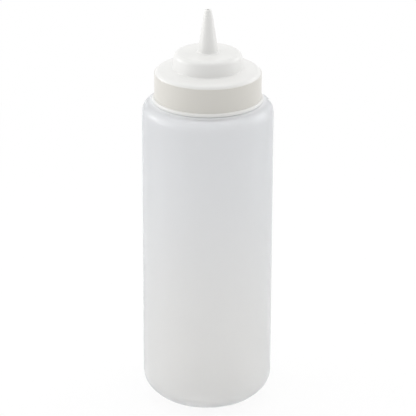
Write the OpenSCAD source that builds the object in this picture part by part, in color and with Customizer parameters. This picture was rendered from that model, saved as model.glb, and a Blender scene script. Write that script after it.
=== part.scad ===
// Squeeze bottle for sauces: a wide-mouth blow-moulded bottle, a one-piece screw cap with a
// stepped crown and a fixed conical spout, and the flat seal ring that the cap presses on the rim.
// Millimetres, +Z up, origin at the middle of the base. Profiles are half sections: radius, height.

/* [Bottle] */
// Outside diameter of the straight wall
bottle_d = 85; // [76:0.5:110]
// Height of the flat shoulder that the neck stands on
shoulder_z = 208.2; // [120:0.1:300]
// Radius of the round from the wall to the shoulder
shoulder_r = 8; // [4:0.5:9]
// Wall thickness
bottle_wall = 1.2; // [0.8:0.1:2.5]
// Upper radius of the two-arc base corner, next to the wall
heel_r = 15; // [8:0.5:18]
// Lower radius of the base corner, next to the foot
foot_r = 25; // [19:0.5:26]
// Angle below the horizontal at which the two base radii meet
heel_angle = 38.5; // [25:0.5:60]
// Radius of the push-up in the middle of the base
pushup_r = 15.5; // [8:0.5:16]
// Height of the push-up
pushup_h = 2.4; // [1:0.1:5]

/* [Neck] */
// Outside diameter of the neck between its threads
neck_d = 60.4; // [50:0.1:73]
// Wall thickness of the neck
neck_wall = 1.8; // [1.4:0.1:3]
// Height of the neck above the shoulder
neck_h = 17.5; // [14:0.5:30]
// Fillet at the neck's root
neck_fillet = 1.2; // [0.5:0.1:1.4]
// Round on the rim's edges
rim_round = 0.4; // [0.2:0.05:0.5]

/* [Seal ring] */
// Thickness of the seal ring
seal_t = 1.5; // [1:0.1:3]
// Clearance round the seal ring, to the skirt and to the locating ring
seal_gap = 0.3; // [0.2:0.05:0.5]

/* [Cap skirt] */
// Room for the screw threads between the neck and the skirt
thread_room = 2.7; // [2:0.1:3.5]
// Wall thickness of the skirt
skirt_wall = 1.7; // [1.2:0.1:2.4]
// Gap from the shoulder to the cap
skirt_gap = 0.6; // [0.4:0.1:2]
// How far the bottom bead stands out from the skirt
bead_out = 1.3; // [0.5:0.1:2.5]
// Height of the bottom bead
bead_h = 2.2; // [1.4:0.1:4]
// How far the skirt's top edge lies below the crown's edge
ledge_drop = 1.8; // [1.2:0.1:2.4]

/* [Cap crown] */
// Thickness of the crown's plate
plate_t = 1.6; // [1.2:0.1:2.4]
// Round at the crown's edge
crown_r = 3.3; // [2.6:0.1:4]
// Rise of the crown's plate from its edge to the tower
crown_rise = 1.6; // [0.4:0.1:4]
// Diameter of the tower at its foot
tower_d = 45.6; // [36:0.2:55]
// Draft of the tower's wall, in degrees
tower_draft = 6.2; // [1:0.1:10]
// Height of the tower's top above the crown's edge
tower_h = 12; // [9:0.5:24]
// Wall thickness of the tower
tower_wall = 1.6; // [1.2:0.1:2]
// Round at the tower's top edge
tower_round = 3.4; // [2.2:0.1:5]
// Fillet at the tower's foot
tower_fillet = 0.8; // [0.3:0.1:2]
// Wall thickness of the ring that locates the cap in the mouth
guide_wall = 1.4; // [1:0.1:2.4]
// Radial clearance from that ring to the mouth
guide_gap = 0.5; // [0.3:0.1:1]
// Depth of that ring below the rim
guide_depth = 3; // [2:0.5:8]

/* [Spout] */
// Diameter of the spout at its foot
spout_d = 13.4; // [11:0.2:20]
// Diameter where the cone meets the tip
tip_root_d = 6.4; // [5.4:0.1:9]
// Diameter of the flat end of the tip
tip_d = 4.3; // [3.8:0.1:5.2]
// Length of the spout's cone
spout_h = 23.1; // [12:0.5:60]
// Length of the tip
tip_h = 5.1; // [4:0.1:20]
// Wall thickness of the spout at its foot
spout_wall = 1.5; // [1.1:0.1:2.2]
// Diameter of the orifice
orifice_d = 1.8; // [1.6:0.1:2.4]
// Length of the straight orifice
orifice_l = 3; // [1.5:0.5:3.5]
// Fillet at the spout's foot
spout_fillet = 1.2; // [0.4:0.1:3]

/* [Hidden] */
$fn = 128;

// How far an arc runs into the line or arc that it touches, so that the two join cleanly
lap = 0.0005;

bottle_r = bottle_d / 2;
neck_r = neck_d / 2;
mouth_r = neck_r - neck_wall;
rim_z = shoulder_z + neck_h;
shoulder_x = bottle_r - shoulder_r;
root_fillet = max(0, min(neck_fillet, shoulder_x - neck_r));

// The base corner: the foot's arc touches the base, and both arcs touch where they meet.
heel_x = bottle_r - heel_r;
heel_z = foot_r - (foot_r - heel_r) * sin(heel_angle);
foot_x = heel_x - (foot_r - heel_r) * cos(heel_angle);
dome_r = (pushup_r * pushup_r + pushup_h * pushup_h) / (2 * pushup_h);

// Heights in the cap are counted from the bottom of its skirt, which stands at cap_z.
cap_z = shoulder_z + skirt_gap;
cap_bore_r = neck_r + thread_room;
skirt_r = cap_bore_r + skirt_wall;
seat_z = rim_z + seal_t - cap_z;
crown_z = seat_z + plate_t;
ledge_z = crown_z - ledge_drop;
ledge_round = 0.25;
guide_r = mouth_r - guide_gap;
guide_z = rim_z - guide_depth - cap_z;

tower_r = tower_d / 2;
tower_foot_z = crown_z + crown_rise;
tower_z = crown_z + tower_h;
tower_top_r = tower_r - (tower_z - tower_foot_z) * tan(tower_draft);
tower_inner_z = tower_z - tower_wall;
tower_bore_r = tower_top_r - tower_wall;
cone_z = tower_z + spout_h;
tip_z = cone_z + tip_h;
tip_round = 0.3;

// Height of the crown's upper face at a radius
function crown_at(radius) = crown_z + crown_rise * (skirt_r - radius) / (skirt_r - tower_r);

function unit(v) = v / norm(v);

// Wraps an index round a closed outline
function step(points, i) = points[(i + len(points)) % len(points)];

// Positive where an outline drawn anticlockwise turns outwards
function bend(points, i) =
  cross(points[i] - step(points, i - 1), step(points, i + 1) - points[i]);

// What a round of this radius takes off a corner, or fills into it
module corner_piece(before, corner, after, radius) {
  back = unit(before - corner);
  ahead = unit(after - corner);
  half = acos(back * ahead) / 2;
  centre = corner + unit(back + ahead) * radius / sin(half);
  reach = radius / tan(half);
  difference() {
    polygon([2 * corner - centre, corner + back * reach, centre, corner + ahead * reach]);
    translate(centre) circle(radius + lap);
  }
}

// An outline drawn anticlockwise, with a round at each corner that has a radius
module rounded_outline(points, radii) {
  corners = [for (i = [0 : len(points) - 1]) if (radii[i] > 0) i];
  difference() {
    union() {
      polygon(points);
      for (i = corners)
        if (bend(points, i) < 0)
          corner_piece(step(points, i - 1), points[i], step(points, i + 1), radii[i]);
    }
    for (i = corners)
      if (bend(points, i) > 0)
        corner_piece(step(points, i - 1), points[i], step(points, i + 1), radii[i]);
  }
}

// Half section of the bottle's body as a filled shape, drawn in by a wall
module body_section(inset) {
  wall_top = shoulder_z - shoulder_r;
  far = 2 * foot_r;
  translate([0, heel_z]) square([bottle_r - inset, wall_top - heel_z]);
  translate([0, heel_z]) square([shoulder_x, shoulder_z - inset - heel_z]);
  translate([shoulder_x, wall_top]) circle(shoulder_r - inset);
  translate([heel_x, heel_z]) circle(heel_r - inset + lap);
  intersection() {
    translate([foot_x, foot_r]) circle(foot_r - inset);
    polygon([
      [0, foot_r],
      [0, -far],
      [foot_x + far * cos(heel_angle), -far],
      [foot_x + far * cos(heel_angle), foot_r - far * sin(heel_angle)],
      [foot_x, foot_r]
    ]);
  }
  translate([0, inset]) square([foot_x, foot_r - inset]);
}

module pushup_section(radius) {
  translate([0, pushup_h - dome_r]) circle(radius);
}

module bottle() {
  color([0.84, 0.85, 0.85, 0.8])
  rotate_extrude()
  difference() {
    union() {
      body_section(0);
      rounded_outline(
        [
          [mouth_r, shoulder_z - shoulder_r],
          [neck_r, shoulder_z - shoulder_r],
          [neck_r, rim_z],
          [mouth_r, rim_z]
        ],
        [0, 0, rim_round, rim_round]
      );
      if (root_fillet > 0)
        corner_piece([shoulder_x, shoulder_z], [neck_r, shoulder_z], [neck_r, rim_z], root_fillet);
    }
    difference() {
      body_section(bottle_wall);
      pushup_section(dome_r + bottle_wall);
    }
    translate([0, shoulder_z - shoulder_r]) square([mouth_r, shoulder_r + neck_h]);
    pushup_section(dome_r);
  }
}

module seal_ring() {
  inner_r = guide_r + seal_gap;
  color([0.9, 0.89, 0.86])
  rotate_extrude()
  translate([inner_r, rim_z]) square([cap_bore_r - seal_gap - inner_r, seal_t]);
}

// The cap's outside, as a filled half section
module cap_outside() {
  rounded_outline(
    [
      [0, ledge_z - ledge_drop],
      [skirt_r, ledge_z - ledge_drop],
      [skirt_r, crown_z],
      [tower_r, tower_foot_z],
      [tower_top_r, tower_z],
      [spout_d / 2, tower_z],
      [tip_root_d / 2, cone_z],
      [tip_d / 2, tip_z],
      [0, tip_z]
    ],
    [0, 0, crown_r, tower_fillet, tower_round, spout_fillet, 0, tip_round, 0]
  );
  rounded_outline(
    [[0, 0], [skirt_r, 0], [skirt_r, ledge_z], [0, ledge_z]],
    [0, 0, ledge_round, 0]
  );
  rounded_outline(
    [
      [0, 0],
      [skirt_r + bead_out, 0],
      [skirt_r + bead_out, bead_h],
      [0, bead_h]
    ],
    [0, bead_h * 0.3, bead_h * 0.45, 0]
  );
}

// The cap's hollow: the skirt's bore, the seal's seat, the tower and the tapered bore
module cap_hollow() {
  ring_r = guide_r - guide_wall;
  end_r = orifice_d / 2;
  rounded_outline(
    [
      [0, -1],
      [cap_bore_r, -1],
      [cap_bore_r, seat_z],
      [guide_r, seat_z],
      [guide_r, guide_z],
      [ring_r, guide_z],
      [ring_r, crown_at(ring_r) - plate_t],
      [tower_bore_r, crown_at(tower_bore_r) - plate_t],
      [tower_bore_r, tower_inner_z],
      [spout_d / 2 - spout_wall, tower_inner_z],
      [end_r, tip_z - orifice_l],
      [end_r, tip_z + 1],
      [0, tip_z + 1]
    ],
    [0, 0, 0, 0, 0.5, 0.5, 1, 1, tower_round - tower_wall, 1, 0, 0, 0]
  );
}

module nozzle_cap() {
  color([0.94, 0.94, 0.93])
  translate([0, 0, cap_z])
  rotate_extrude()
  difference() {
    cap_outside();
    cap_hollow();
  }
}

bottle();
seal_ring();
nozzle_cap();
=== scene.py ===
"""Looks of a wide-mouth sauce bottle with a screw-on nozzle cap, built over its CAD frame.

Metres, +Z up, origin in the middle of the base. The photograph looks from -Y towards +Y.
"""

import math

import bmesh
import bpy
from bpy.props import FloatProperty, FloatVectorProperty, PointerProperty
from mathutils import Matrix, Vector


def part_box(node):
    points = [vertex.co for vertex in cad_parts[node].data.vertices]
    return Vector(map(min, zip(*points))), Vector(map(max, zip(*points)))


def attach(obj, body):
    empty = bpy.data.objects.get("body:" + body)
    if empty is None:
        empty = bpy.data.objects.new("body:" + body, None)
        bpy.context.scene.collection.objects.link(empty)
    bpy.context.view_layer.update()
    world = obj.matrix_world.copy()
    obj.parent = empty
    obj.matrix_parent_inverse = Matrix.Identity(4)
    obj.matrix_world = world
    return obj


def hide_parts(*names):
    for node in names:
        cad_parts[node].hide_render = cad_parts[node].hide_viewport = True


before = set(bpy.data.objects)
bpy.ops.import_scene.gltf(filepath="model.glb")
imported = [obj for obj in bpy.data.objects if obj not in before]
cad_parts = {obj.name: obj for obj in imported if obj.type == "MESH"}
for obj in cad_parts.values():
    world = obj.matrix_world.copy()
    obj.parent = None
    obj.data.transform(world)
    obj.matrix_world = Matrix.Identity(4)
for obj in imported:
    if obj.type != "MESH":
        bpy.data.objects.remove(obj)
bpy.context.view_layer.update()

bl_info = {
    "name": "Sauce bottle with nozzle cap",
    "version": (1, 0, 0),
    "blender": (4, 5, 0),
    "location": "3D View > Sidebar > Sauce bottle",
    "description": "Models and finishes the pieces of a squeeze bottle over its CAD frame",
    "category": "Object",
}

_, BOTTLE_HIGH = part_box("bottle")
RING_LOW, RING_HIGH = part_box("seal_ring")
CAP_LOW, CAP_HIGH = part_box("nozzle_cap")

MM = 0.001
STEPS_ROUND = 192
SHARP_FROM = math.radians(40)
SAME_PLACE = 1e-6
SAME_WALL = 0.02 * MM
WHITE = (1, 1, 1, 1)

# Sizes that two pieces, or a piece and its finish, have to agree on
NECK_HEIGHT = 17.5 * MM
BEAD_HEIGHT = 2.2 * MM
LEDGE_HEIGHT = 18.2 * MM
THREAD_PITCH = 6 * MM
THREAD_TURNS = 1.5
THREAD_RUN_OUT = 0.12
THREAD_BASE, THREAD_CREST = 2.9 * MM, 1.0 * MM
THREAD_STEP = 0.25 * MM


# Drawing and turning

class HalfSection:
    """A line in the XZ plane, drawn with mesh operators, that a full turn about Z makes a skin."""

    def __init__(self, radius, height):
        self.mesh = bmesh.new()
        self.start = Vector((radius, 0, height))
        self.tip = bmesh.ops.create_vert(self.mesh, co=self.start)["vert"][0]
        self.rounds = []

    def line(self, radius, height, rounding=0.0, segments=1):
        """Goes straight on to a corner, which gets its rounding once the whole line is drawn."""
        self.tip = bmesh.ops.extrude_vert_indiv(self.mesh, verts=[self.tip])["verts"][0]
        self.tip.co = (radius, 0, height)
        if rounding:
            self.rounds.append((self.tip, rounding, segments))

    def arc(self, radius, height, degrees, segments):
        """Goes on along an arc about a middle, positive from +X towards +Z."""
        turned = bmesh.ops.spin(
            self.mesh, geom=[self.tip], cent=(radius, 0, height), axis=(0, -1, 0),
            angle=math.radians(degrees), steps=segments,
        )["geom_last"]
        self.tip = next(part for part in turned if isinstance(part, bmesh.types.BMVert))

    def close(self):
        """Goes back to where the line began."""
        self.line(self.start.x, self.start.z)
        bmesh.ops.remove_doubles(self.mesh, verts=self.mesh.verts, dist=SAME_PLACE)

    def split_upright(self, radius):
        """Divides the upright lines at a radius, so that a thread can be raised from them."""
        upright = [
            edge for edge in self.mesh.edges
            if all(abs(vert.co.x - radius) < SAME_PLACE for vert in edge.verts)
        ]
        for edge in upright:
            cuts = int(edge.calc_length() / THREAD_STEP)
            bmesh.ops.subdivide_edges(self.mesh, edges=[edge], cuts=cuts)

    def round_corners(self):
        """Gives each corner its rounding, as an arc that touches both lines."""
        for corner, radius, segments in self.rounds:
            ways = [edge.other_vert(corner).co - corner.co for edge in corner.link_edges]
            turn = math.pi - ways[0].angle(ways[1])
            bmesh.ops.bevel(
                self.mesh, geom=[corner], offset=radius * math.tan(turn / 2),
                offset_type="OFFSET", segments=segments, profile=0.5, affect="VERTICES",
                material=-1,
            )

    def turn(self):
        """Turns the line about Z into a closed skin whose faces point outwards."""
        bmesh.ops.spin(
            self.mesh, geom=self.mesh.verts[:] + self.mesh.edges[:], cent=(0, 0, 0),
            axis=(0, 0, 1), angle=math.tau, steps=STEPS_ROUND, use_merge=True,
        )
        bmesh.ops.remove_doubles(self.mesh, verts=self.mesh.verts, dist=SAME_PLACE)
        bmesh.ops.recalc_face_normals(self.mesh, faces=self.mesh.faces)
        return self.mesh


def soft_step(value):
    """0 below 0, 1 above 1, and a smooth way between them."""
    value = min(max(value, 0.0), 1.0)
    return value * value * (3 - 2 * value)


def raise_thread(mesh, root, crest, start):
    """Raises a right-hand screw thread on the upright wall whose radius is root."""
    flank = (THREAD_BASE - THREAD_CREST) / 2
    for vert in mesh.verts:
        radius = math.hypot(vert.co.x, vert.co.y)
        if abs(radius - root) > SAME_WALL:
            continue
        turned = math.atan2(vert.co.y, vert.co.x) / math.tau
        climbed = (vert.co.z - start) / THREAD_PITCH - turned
        nearest = round(climbed)
        along = nearest + turned
        if not 0 <= along <= THREAD_TURNS:
            continue
        away = abs(climbed - nearest) * THREAD_PITCH
        ramp = soft_step(min(along, THREAD_TURNS - along) / THREAD_RUN_OUT)
        lift = ramp * soft_step((THREAD_BASE / 2 - away) / flank)
        scale = (root + (crest - root) * lift) / radius
        vert.co.x *= scale
        vert.co.y *= scale


def make_piece(mesh, name, node, body, finish):
    """Makes a mesh the piece that stands for a CAD node."""
    data = bpy.data.meshes.new(name)
    mesh.to_mesh(data)
    mesh.free()
    data.shade_smooth()
    data.set_sharp_from_angle(angle=SHARP_FROM)
    data.materials.append(finish)
    piece = bpy.data.objects.new(name, data)
    bpy.context.scene.collection.objects.link(piece)
    even = piece.modifiers.new("Even shading", "WEIGHTED_NORMAL")
    even.keep_sharp = True
    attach(piece, body)
    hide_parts(node)


def facing(place, aim):
    """The turn that points a lamp or a camera from a place at an aim."""
    return (Vector(aim) - Vector(place)).to_track_quat("-Z", "Y")


# Shader maths

class Wire:
    """One socket's value, whose sums and products add their Math nodes."""

    def __init__(self, finish, socket):
        self.finish = finish
        self.socket = socket

    def maths(self, operation, *values):
        return self.finish.add("ShaderNodeMath", {"operation": operation}, *values)

    def __add__(self, other):
        return self.maths("ADD", self, other)

    def __radd__(self, other):
        return self.maths("ADD", other, self)

    def __sub__(self, other):
        return self.maths("SUBTRACT", self, other)

    def __rsub__(self, other):
        return self.maths("SUBTRACT", other, self)

    def __mul__(self, other):
        return self.maths("MULTIPLY", self, other)

    def __rmul__(self, other):
        return self.maths("MULTIPLY", other, self)

    def __abs__(self):
        return self.maths("ABSOLUTE", self)

    def root(self):
        return self.maths("SQRT", self)

    def or_more(self, other):
        """The larger of two values."""
        return self.maths("MAXIMUM", self, other)

    def between(self, start, end):
        """0 at start and 1 at end, with a smooth way between them."""
        return self.finish.add(
            "ShaderNodeMapRange", {"interpolation_type": "SMOOTHSTEP"}, self, start, end, 0.0, 1.0
        )


class Finish:
    """A material or a world under construction."""

    def __init__(self, owner, output="ShaderNodeOutputMaterial"):
        self.owner = owner
        owner.use_nodes = True
        self.tree = owner.node_tree
        self.tree.nodes.clear()
        self.last = self.tree.nodes.new(output)

    def plug(self, socket, value):
        """Links a wire to a socket, or sets a plain value on it."""
        if isinstance(value, Wire):
            self.tree.links.new(value.socket, socket)
        else:
            socket.default_value = value

    def add(self, kind, settings, *values, take=0, **named):
        """Adds a node: its settings first, then its sockets in order or by name."""
        node = self.tree.nodes.new(kind)
        for key, value in settings.items():
            setattr(node, key, value)
        for socket, value in zip(node.inputs, values):
            self.plug(socket, value)
        for key, value in named.items():
            self.plug(node.inputs[key.replace("_", " ")], value)
        return Wire(self, node.outputs[take])

    def place(self):
        """Object coordinates."""
        return self.add("ShaderNodeTexCoord", {}, take="Object")

    def split(self, where):
        """X, Y and Z, each on its own."""
        apart = self.add("ShaderNodeSeparateXYZ", {}, where).socket.node
        return [Wire(self, socket) for socket in apart.outputs]

    def ray_kinds(self):
        """1 or 0 for a ray from the camera, off a shine and through a clear wall."""
        ray = self.add("ShaderNodeLightPath", {}).socket.node
        kinds = ("Is Camera Ray", "Is Glossy Ray", "Is Transmission Ray")
        return [Wire(self, ray.outputs[kind]) for kind in kinds]

    def grain(self, where, size, detail=2.0, stretch=(1, 1, 1)):
        """Noise whose cells are about as large as size, stretched along an axis if asked."""
        scaled = self.add(
            "ShaderNodeMapping", {"vector_type": "POINT"}, where, Scale=stretch
        )
        return self.add(
            "ShaderNodeTexNoise", {"noise_dimensions": "3D"},
            Vector=scaled, Scale=1 / size, Detail=detail, Roughness=0.55,
        )

    def blend(self, share, first, second):
        """A mix of two colours."""
        node = self.tree.nodes.new("ShaderNodeMix")
        node.data_type = "RGBA"
        # The sockets for colours come after those for numbers and vectors
        first_colour, second_colour, mixed_colour = node.inputs[6], node.inputs[7], node.outputs[2]
        self.plug(node.inputs["Factor"], share)
        self.plug(first_colour, first)
        self.plug(second_colour, second)
        return Wire(self, mixed_colour)

    def bump(self, height, distance):
        """A normal from a height, of which 1 stands for the distance."""
        return self.add("ShaderNodeBump", {}, Strength=1.0, Distance=distance, Height=height)

    def shader(self, colour, roughness, normal, **fixed):
        """A Principled shader; fixed values go straight on its sockets."""
        return self.add(
            "ShaderNodeBsdfPrincipled", {},
            Base_Color=colour, Roughness=roughness, Normal=normal, **fixed,
        )

    def end_mixed(self, share, first, second):
        """Ends in a mix of two shaders."""
        return self.end(self.add("ShaderNodeMixShader", {}, share, first, second))

    def end(self, shader):
        """Ends in a shader, and gives back the finished material or world."""
        self.plug(self.last.inputs["Surface"], shader)
        return self.owner


def solid(colour, dim=1.0):
    """A property's colour with alpha, made darker or lighter."""
    return (*(min(channel * dim, 1.0) for channel in colour), 1.0)


def milky_plastic(look):
    """Translucent natural polyethylene, blown: soft sheen, cloudy wall, faint mould line.

    The flat of the shoulder, where the wall is thick, lets no light through. That fades out from
    the edge of the cap's bead to the middle of the shoulder's bend, and up the root of the neck.
    """
    finish = Finish(bpy.data.materials.new("milky_plastic"))
    where = finish.place()
    across, along, up = finish.split(where)
    cloud = finish.grain(where, 35 * MM, 3.0, (1, 1, 0.35))
    streak = finish.grain(where, 4 * MM, 2.0, (1, 1, 0.03))
    fine = finish.grain(where, 0.6 * MM)
    mottle = cloud.between(0.35, 0.65) * 0.75 + streak * 0.25
    wall_foot, wall_top = 20 * MM, 190 * MM
    wall = finish.blend(
        up.between(wall_foot, wall_top), solid(look.colour), solid(look.cool_colour)
    )
    colour = finish.blend(mottle * 0.02, wall, WHITE)
    roughness = look.roughness + 0.02 * cloud + 0.01 * streak
    mould_line = 1 - abs(along).between(0.12 * MM, 0.4 * MM)
    height = 0.55 * mould_line + 0.18 * fine + 0.5 * streak + 2.4 * cloud
    normal = finish.bump(height, look.relief)

    def plastic(tone, clearness):
        return finish.shader(
            tone, roughness, normal, IOR=look.ior, Transmission_Weight=clearness,
            Coat_Weight=look.gloss, Coat_Roughness=0.2, Sheen_Weight=look.haze,
            Sheen_Roughness=0.5, Sheen_Tint=(0.85, 0.93, 1.0, 1.0),
        )

    clear = plastic(colour, look.clearness)
    milky = plastic(solid(look.cool_colour, 0.94), 0.0)
    radius = (across * across + along * along).root()
    flat = look.rim - NECK_HEIGHT
    bead_edge, fade_end = 35.9 * MM, 38.4 * MM
    on_flat = (
        up.between(flat - 3 * MM, flat - 1.5 * MM)
        * (1 - up.between(flat + 0.8 * MM, flat + 3 * MM))
        * (1 - radius.between(bead_edge, fade_end))
    )
    return finish.end_mixed(on_flat, clear, milky)


def white_plastic(look):
    """White moulded polyethylene: satin, with fine texture and flow lines; the skirt gets painted
    shade, a darker and warmer colour for the dark neck behind its thin wall.
    """
    finish = Finish(bpy.data.materials.new("white_plastic"))
    where = finish.place()
    up = finish.split(where)[2]
    cloud = finish.grain(where, 12 * MM, 3.0)
    fine = finish.grain(where, 0.4 * MM)
    flow = finish.grain(where, 2.2 * MM, 2.0, (1, 1, 0.08))
    shade = finish.blend(cloud, solid(look.colour, 0.993), solid(look.colour, 1.005))
    # Painted shade: between the bead and the ledge the skirt takes a darker, warmer colour that
    # stands in for the dark neck behind its thin wall
    bead_top, ledge = CAP_LOW.z + BEAD_HEIGHT, CAP_LOW.z + LEDGE_HEIGHT
    skirt_shade_share = up.between(bead_top - 0.2 * MM, bead_top + 0.4 * MM) * (
        1 - up.between(ledge - 0.3 * MM, ledge + 0.3 * MM)
    )
    colour = finish.blend(skirt_shade_share, shade, solid(look.skirt_shade_colour))
    normal = finish.bump(0.22 * fine + 0.3 * flow, look.relief)
    return finish.end(finish.shader(colour, look.roughness + 0.03 * cloud, normal, IOR=1.51))


def pale_rubber(look):
    """Matt food-grade elastomer with a fine tooth and a little dust."""
    finish = Finish(bpy.data.materials.new("pale_rubber"))
    where = finish.place()
    tooth = finish.grain(where, 0.3 * MM)
    dust = finish.grain(where, 5 * MM, 4.0)
    colour = finish.blend(dust.between(0.4, 0.7), solid(look.colour, 0.97), solid(look.colour))
    roughness = look.roughness + 0.08 * (dust - 0.5)
    normal = finish.bump(tooth, look.relief)
    return finish.end(finish.shader(colour, roughness, normal, IOR=1.5))


def studio_floor(look):
    """White floor that keeps the object's shadow and runs out to plain white.

    What a reflection or a clear wall looks at is plain white; lamps light a matt floor.
    """
    finish = Finish(bpy.data.materials.new("studio_floor"))
    where = finish.place()
    away = finish.add("ShaderNodeVectorMath", {"operation": "LENGTH"}, where, take="Value")
    tooth = finish.grain(where, 2 * MM)
    matt = finish.add(
        "ShaderNodeBsdfDiffuse", {},
        finish.blend(tooth, solid((0.94, 0.94, 0.94)), solid((0.96, 0.96, 0.96))),
    )
    plain = finish.add("ShaderNodeEmission", {}, WHITE, 1.0)
    camera, shine, through = finish.ray_kinds()
    near = look.whiteness + (1 - look.whiteness) * away.between(0.12, 0.6)
    return finish.end_mixed((camera * near).or_more(shine.or_more(through)), matt, plain)


def room_light(look):
    """Even white light, and plain white where the camera, a reflection or a clear wall looks."""
    finish = Finish(bpy.data.worlds.new("room"), "ShaderNodeOutputWorld")
    light = finish.add("ShaderNodeBackground", {}, WHITE, look.ambient)
    plain = finish.add("ShaderNodeBackground", {}, WHITE, 1.0)
    camera, shine, through = finish.ray_kinds()
    return finish.end_mixed(camera.or_more(shine.or_more(through)), light, plain)


# What a user may change

class SauceBottleShell(bpy.types.PropertyGroup):
    """Sizes and finish of the blown bottle"""

    radius: FloatProperty(
        name="Radius", description="Outside radius of the bottle's wall",
        default=BOTTLE_HIGH.x, unit="LENGTH", precision=4,
    )
    rim: FloatProperty(
        name="Rim", description="Height of the rim", default=BOTTLE_HIGH.z, unit="LENGTH",
        precision=4,
    )
    wall: FloatProperty(
        name="Wall", description="Thickness of the blown wall", default=1.2 * MM,
        unit="LENGTH", precision=4,
    )
    thread_out: FloatProperty(
        name="Thread", description="How far the neck's thread stands out",
        default=1.7 * MM, unit="LENGTH", precision=4,
    )
    shoulder_lift: FloatProperty(
        name="Shoulder", description="How much closer the shoulder comes to the cap's skirt",
        default=0.3 * MM, unit="LENGTH", precision=5,
    )
    colour: FloatVectorProperty(
        name="Colour", description="Colour of the plastic", default=(0.968, 0.964, 0.955),
        subtype="COLOR", min=0, max=1,
    )
    cool_colour: FloatVectorProperty(
        name="Upper colour", description="Colour of the wall towards the shoulder",
        default=(0.95, 0.956, 0.967), subtype="COLOR", min=0, max=1,
    )
    clearness: FloatProperty(
        name="Clearness", description="Share of the light that goes through a surface",
        default=0.68, min=0, max=1, subtype="FACTOR",
    )
    ior: FloatProperty(
        name="Bending", description="How much the wall bends light, lower than the plastic's own "
        "value because the milky wall scatters the light that it would else trap",
        default=1.33, min=1, max=2,
    )
    haze: FloatProperty(
        name="Haze", description="Paleness of the wall where it is seen edge on", default=0.2,
        min=0, max=1, subtype="FACTOR",
    )
    gloss: FloatProperty(
        name="Gloss", description="Share of a sharper shine that lies over the soft one",
        default=0.35, min=0, max=1, subtype="FACTOR",
    )
    roughness: FloatProperty(
        name="Roughness", description="Roughness of the surface", default=0.29, min=0, max=1,
        subtype="FACTOR",
    )
    relief: FloatProperty(
        name="Relief", description="Height of the wall's unevenness", default=0.12 * MM,
        unit="LENGTH", precision=5,
    )


class SauceBottleSeal(bpy.types.PropertyGroup):
    """Edges and finish of the seal ring"""

    rounding: FloatProperty(
        name="Rounding", description="Round on the ring's edges", default=0.3 * MM,
        unit="LENGTH", precision=4,
    )
    colour: FloatVectorProperty(
        name="Colour", description="Colour of the elastomer", default=(0.80, 0.78, 0.72),
        subtype="COLOR", min=0, max=1,
    )
    roughness: FloatProperty(
        name="Roughness", description="Roughness of the elastomer", default=0.7, min=0, max=1,
        subtype="FACTOR",
    )
    relief: FloatProperty(
        name="Relief", description="Height of the elastomer's tooth", default=0.02 * MM,
        unit="LENGTH", precision=5,
    )


class SauceBottleCap(bpy.types.PropertyGroup):
    """Sizes and finish of the nozzle cap"""

    tower_radius: FloatProperty(
        name="Tower", description="Radius of the tower at its foot", default=22.8 * MM,
        unit="LENGTH", precision=4,
    )
    spout_radius: FloatProperty(
        name="Spout", description="Radius of the spout at its foot", default=6.7 * MM,
        unit="LENGTH", precision=4,
    )
    thread_in: FloatProperty(
        name="Thread", description="How far the skirt's thread stands in", default=1.9 * MM,
        unit="LENGTH", precision=4,
    )
    ledge: FloatProperty(
        name="Ledge", description="How much the crown's edge is set back on the skirt's top",
        default=0.25 * MM, unit="LENGTH", precision=5,
    )
    ring_depth: FloatProperty(
        name="Tip rings", description="Depth of the two cutting rings round the tip",
        default=0.06 * MM, unit="LENGTH", precision=5,
    )
    colour: FloatVectorProperty(
        name="Colour", description="Colour of the plastic", default=(0.785, 0.783, 0.768),
        subtype="COLOR", min=0, max=1,
    )
    # Painted shade: a darker, warmer colour for the skirt that stands in for the dark neck behind
    # its thin wall
    skirt_shade_colour: FloatVectorProperty(
        name="Skirt", description="Colour of the skirt, whose thin wall is backed by the neck",
        default=(0.66, 0.643, 0.60), subtype="COLOR", min=0, max=1,
    )
    roughness: FloatProperty(
        name="Roughness", description="Roughness of the satin", default=0.29, min=0, max=1,
        subtype="FACTOR",
    )
    relief: FloatProperty(
        name="Relief", description="Height of the fine texture", default=0.02 * MM,
        unit="LENGTH", precision=5,
    )


class SauceBottleStage(bpy.types.PropertyGroup):
    """Floor, lamps and camera"""

    whiteness: FloatProperty(
        name="Whiteness", description="How far the floor near the object is plain white",
        default=0.9, min=0, max=1, subtype="FACTOR",
    )
    left_lamp: FloatProperty(
        name="Left lamp", description="Power of the left softbox", default=2.9, min=0,
        subtype="POWER",
    )
    right_lamp: FloatProperty(
        name="Right lamp", description="Power of the right softbox", default=2.3, min=0,
        subtype="POWER",
    )
    left_rim: FloatProperty(
        name="Left rim", description="Power of the small lamp behind on the left", default=2.0,
        min=0, subtype="POWER",
    )
    right_rim: FloatProperty(
        name="Right rim", description="Power of the small lamp behind on the right", default=1.2,
        min=0, subtype="POWER",
    )
    top_lamp: FloatProperty(
        name="Top lamp", description="Power of the overhead softbox", default=21.0, min=0,
        subtype="POWER",
    )
    ambient: FloatProperty(
        name="Ambient", description="Strength of the room's light", default=0.64, min=0,
    )
    lens: FloatProperty(
        name="Lens", description="Focal length of the camera, in millimetres", default=224.03,
        unit="CAMERA",
    )
    roll: FloatProperty(
        name="Roll", description="Turn of the camera about its own axis",
        default=math.radians(0.19), subtype="ANGLE",
    )


# Pieces

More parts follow.
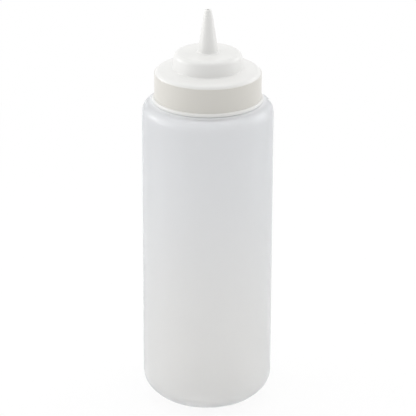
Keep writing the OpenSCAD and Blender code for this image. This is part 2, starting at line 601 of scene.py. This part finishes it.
class OBJECT_OT_sauce_bottle_shell(bpy.types.Operator):
    """Makes the blown bottle with its threaded neck"""

    bl_idname = "object.sauce_bottle_shell"
    bl_label = "Bottle"

    def execute(self, context):
        look = context.scene.sauce_bottle_shell
        wall, outer, rim = look.wall, look.radius, look.rim
        shoulder, neck, mouth = rim - NECK_HEIGHT, 30.2 * MM, 28.4 * MM
        raised = shoulder + look.shoulder_lift
        bend, root_fillet, rim_round, mouth_round = 8 * MM, 1.2 * MM, 0.4 * MM, 0.6 * MM
        thread_start = shoulder + 4.4 * MM

        # The base: a shallow dome, the standing ring, and a corner of two arcs that touch
        pushup_radius, pushup_height = 15.5 * MM, 2.4 * MM
        dome = (pushup_radius**2 + pushup_height**2) / (2 * pushup_height)
        dome_middle = pushup_height - dome
        dome_angle = math.degrees(math.asin(pushup_radius / dome))
        inner_dome = dome + wall
        inner_edge = math.sqrt(inner_dome**2 - (wall - dome_middle) ** 2)
        inner_angle = math.degrees(math.asin(inner_edge / inner_dome))
        heel, foot, sweep = 15 * MM, 25 * MM, 38.5
        meet = math.radians(sweep)
        heel_x, heel_z = outer - heel, foot - (foot - heel) * math.sin(meet)
        foot_x = heel_x - (foot - heel) * math.cos(meet)

        section = HalfSection(0, pushup_height)
        section.arc(0, dome_middle, -dome_angle, segments=10)
        section.line(foot_x, 0)
        section.arc(foot_x, foot, 90 - sweep, segments=16)
        section.arc(heel_x, heel_z, sweep, segments=14)
        section.line(outer, raised - bend)
        section.arc(outer - bend, raised - bend, 90, segments=16)
        section.line(neck, raised, root_fillet, segments=6)
        section.line(neck, rim, rim_round, segments=4)
        section.line(mouth, rim, rim_round, segments=4)
        section.line(mouth, shoulder - wall, mouth_round, segments=4)
        section.line(outer - bend, shoulder - wall)
        section.arc(outer - bend, shoulder - bend, -90, segments=12)
        section.line(outer - wall, heel_z)
        section.arc(heel_x, heel_z, -sweep, segments=12)
        section.arc(foot_x, foot, sweep - 90, segments=14)
        section.line(inner_edge, wall)
        section.arc(0, dome_middle, inner_angle, segments=8)
        section.round_corners()
        section.split_upright(neck)
        mesh = section.turn()
        raise_thread(mesh, neck, neck + look.thread_out, thread_start)
        make_piece(mesh, "bottle_shell", "bottle", "bottle", milky_plastic(look))
        return {"FINISHED"}


class OBJECT_OT_sauce_bottle_seal(bpy.types.Operator):
    """Makes the flat seal ring"""

    bl_idname = "object.sauce_bottle_seal"
    bl_label = "Seal ring"

    def execute(self, context):
        look = context.scene.sauce_bottle_seal
        outer, inner = RING_HIGH.x, 28.2 * MM
        low, high = RING_LOW.z, RING_HIGH.z
        section = HalfSection((inner + outer) / 2, low)
        for radius, height in ((outer, low), (outer, high), (inner, high), (inner, low)):
            section.line(radius, height, look.rounding, segments=4)
        section.close()
        section.round_corners()
        make_piece(
            section.turn(), "seal_washer", "seal_ring", "seal_ring", pale_rubber(look)
        )
        return {"FINISHED"}


class OBJECT_OT_sauce_bottle_cap(bpy.types.Operator):
    """Makes the screw cap with its tower and spout"""

    bl_idname = "object.sauce_bottle_cap"
    bl_label = "Nozzle cap"

    def execute(self, context):
        look = context.scene.sauce_bottle_cap
        base, tip = CAP_LOW.z, CAP_HIGH.z

        # The skirt with its bead and ledge, the seal's seat, and the ring that fits the mouth
        bead, skirt, bore = 35.9 * MM, 34.6 * MM, 32.9 * MM
        bead_top, bead_round, bead_foot_round = base + BEAD_HEIGHT, 0.99 * MM, 0.25 * MM
        ledge, ledge_round, skirt_fillet = base + LEDGE_HEIGHT, 0.12 * MM, 0.15 * MM
        seat, seat_round, bore_round = base + 18.4 * MM, 0.25 * MM, 0.4 * MM
        thread_start = base + 1.8 * MM
        guide, guide_bore = 27.9 * MM, 26.5 * MM
        guide_end, guide_round = base + 13.9 * MM, 0.5 * MM

        # The crown rises in a slight cone to the tower, whose wall leans inwards
        crown, rise, plate, edge = base + 20 * MM, 1.6 * MM, 1.6 * MM, 3.3 * MM
        tower, tower_foot, tower_top = look.tower_radius, crown + rise, crown + 12 * MM
        draft = math.tan(math.radians(6.2))
        tower_upper = tower - (tower_top - tower_foot) * draft
        tower_fillet, tower_round, tower_wall = 0.8 * MM, 3.4 * MM, 1.6 * MM
        tower_bore, tower_roof = tower_upper - tower_wall, tower_top - tower_wall
        inner_round, roof_round = 1 * MM, 1.8 * MM

        # The spout: a cone, and a tip with two grooves and the outlet
        spout, spout_wall, spout_fillet = look.spout_radius, 1.5 * MM, 1.2 * MM
        cone_top, cone_end = tip - 5.1 * MM, 3.2 * MM
        tip_radius, tip_round = 2.15 * MM, 0.3 * MM
        hole, hole_round, hole_length = 0.9 * MM, 0.35 * MM, 3 * MM
        grooves, half_groove, groove_round = (3.9 * MM, 2.4 * MM), 0.2 * MM, 0.08 * MM
        tip_taper = (cone_end - tip_radius) / (tip - cone_top)

        def crown_at(radius):
            return crown + rise * (skirt - radius) / (skirt - tower)

        # The arc of the crown's edge starts where it comes out of the ledge
        slope = math.atan2(rise, skirt - tower)
        edge_low = crown - edge / math.tan((math.pi / 2 + slope) / 2)
        edge_start = math.asin((ledge - edge_low) / edge)
        ledge_inner = skirt - edge + edge * math.cos(edge_start)
        sweep = math.degrees(math.pi / 2 - slope - edge_start)

        section = HalfSection(bead - 1.5 * MM, base)
        section.line(bead, base, bead_foot_round, segments=4)
        section.line(bead, bead_top, bead_round, segments=6)
        section.line(skirt, bead_top, skirt_fillet, segments=2)
        section.line(skirt, ledge, ledge_round, segments=3)
        section.line(ledge_inner - look.ledge, ledge)
        section.arc(skirt - edge - look.ledge, edge_low, sweep, segments=10)
        section.line(tower, tower_foot, tower_fillet, segments=5)
        section.line(tower_upper, tower_top, tower_round, segments=12)
        section.line(spout, tower_top, spout_fillet, segments=6)
        section.line(cone_end, cone_top)
        for down in grooves:
            middle = tip_radius + tip_taper * down
            section.line(middle + tip_taper * half_groove, tip - down - half_groove)
            section.line(middle - look.ring_depth, tip - down, groove_round, segments=2)
            section.line(middle - tip_taper * half_groove, tip - down + half_groove)
        section.line(tip_radius, tip, tip_round, segments=5)
        section.line(hole, tip, hole_round, segments=4)
        section.line(hole, tip - hole_length)
        section.line(spout - spout_wall, tower_roof, inner_round, segments=5)
        section.line(tower_bore, tower_roof, roof_round, segments=8)
        section.line(tower_bore, crown_at(tower_bore) - plate, inner_round, segments=5)
        section.line(guide_bore, crown_at(guide_bore) - plate, inner_round, segments=5)
        section.line(guide_bore, guide_end, guide_round, segments=4)
        section.line(guide, guide_end, guide_round, segments=4)
        section.line(guide, seat, seat_round, segments=3)
        section.line(bore, seat, seat_round, segments=3)
        section.line(bore, base, bore_round, segments=3)
        section.close()
        section.round_corners()
        section.split_upright(bore)
        mesh = section.turn()
        raise_thread(mesh, bore, bore - look.thread_in, thread_start)
        make_piece(
            mesh, "nozzle_cap_moulding", "nozzle_cap", "nozzle_cap", white_plastic(look)
        )
        return {"FINISHED"}


class OBJECT_OT_sauce_bottle_stage(bpy.types.Operator):
    """Sets up the floor, the lamps, the room's light and the camera"""

    bl_idname = "object.sauce_bottle_stage"
    bl_label = "Stage"

    def softbox(self, name, power, side, place):
        """A square lamp that looks at the middle of the object."""
        middle = (0, 0, 0.14)
        data = bpy.data.lights.new(name, "AREA")
        data.shape = "SQUARE"
        data.size = side
        data.energy = power
        lamp = bpy.data.objects.new(name, data)
        lamp.location = place
        lamp.rotation_euler = facing(place, middle).to_euler()
        bpy.context.scene.collection.objects.link(lamp)

    def execute(self, context):
        look = context.scene.sauce_bottle_stage
        mesh = bmesh.new()
        just_below = (0, 0, -0.05 * MM)
        bmesh.ops.create_circle(mesh, cap_ends=True, segments=96, radius=6.0)
        bmesh.ops.translate(mesh, verts=mesh.verts, vec=just_below)
        data = bpy.data.meshes.new("floor")
        mesh.to_mesh(data)
        mesh.free()
        data.materials.append(studio_floor(look))
        floor = bpy.data.objects.new("floor", data)
        context.scene.collection.objects.link(floor)

        context.scene.world = room_light(look)
        self.softbox("left_softbox", look.left_lamp, 0.8, (-1.1, -0.06, 0.41))
        self.softbox("right_softbox", look.right_lamp, 0.8, (1.08, 0.16, 0.41))
        self.softbox("left_rim", look.left_rim, 0.36, (-1.05, 0.38, 0.42))
        self.softbox("right_rim", look.right_rim, 0.36, (0.88, 0.55, 0.66))
        self.softbox("top_softbox", look.top_lamp, 2.4, (0, 0, 2.4))

        camera = bpy.data.cameras.new("camera")
        camera.sensor_width = 36
        camera.lens = look.lens
        camera.clip_end = 50
        away, tilt, aim = 1.69687, math.radians(21.87), Vector((0.3 * MM, 0, 0.13306))
        place = aim + Vector((0, -away * math.cos(tilt), away * math.sin(tilt)))
        turned = facing(place, aim).to_matrix().to_4x4()
        holder = bpy.data.objects.new("camera", camera)
        holder.matrix_world = (
            Matrix.Translation(place) @ turned @ Matrix.Rotation(look.roll, 4, "Z")
        )
        context.scene.collection.objects.link(holder)
        context.scene.camera = holder
        context.scene.view_settings.view_transform = "Standard"
        return {"FINISHED"}


class VIEW3D_PT_sauce_bottle(bpy.types.Panel):
    """A box with a button and its settings for each piece and for the stage"""

    bl_label = "Sauce bottle"
    bl_space_type = "VIEW_3D"
    bl_region_type = "UI"
    bl_category = "Sauce bottle"

    def draw(self, context):
        for name, group, operator in PARTS:
            box = self.layout.box()
            box.operator(operator.bl_idname)
            for setting in group.__annotations__:
                box.prop(getattr(context.scene, name), setting)


PARTS = (
    ("sauce_bottle_shell", SauceBottleShell, OBJECT_OT_sauce_bottle_shell),
    ("sauce_bottle_seal", SauceBottleSeal, OBJECT_OT_sauce_bottle_seal),
    ("sauce_bottle_cap", SauceBottleCap, OBJECT_OT_sauce_bottle_cap),
    ("sauce_bottle_stage", SauceBottleStage, OBJECT_OT_sauce_bottle_stage),
)


def register():
    for name, group, operator in PARTS:
        bpy.utils.register_class(group)
        setattr(bpy.types.Scene, name, PointerProperty(type=group))
        bpy.utils.register_class(operator)
    bpy.utils.register_class(VIEW3D_PT_sauce_bottle)


def unregister():
    bpy.utils.unregister_class(VIEW3D_PT_sauce_bottle)
    for name, group, operator in reversed(PARTS):
        bpy.utils.unregister_class(operator)
        delattr(bpy.types.Scene, name)
        bpy.utils.unregister_class(group)


def main():
    register()
    bpy.ops.object.sauce_bottle_shell()
    bpy.ops.object.sauce_bottle_seal()
    bpy.ops.object.sauce_bottle_cap()
    bpy.ops.object.sauce_bottle_stage()


if __name__ == "__main__":
    main()
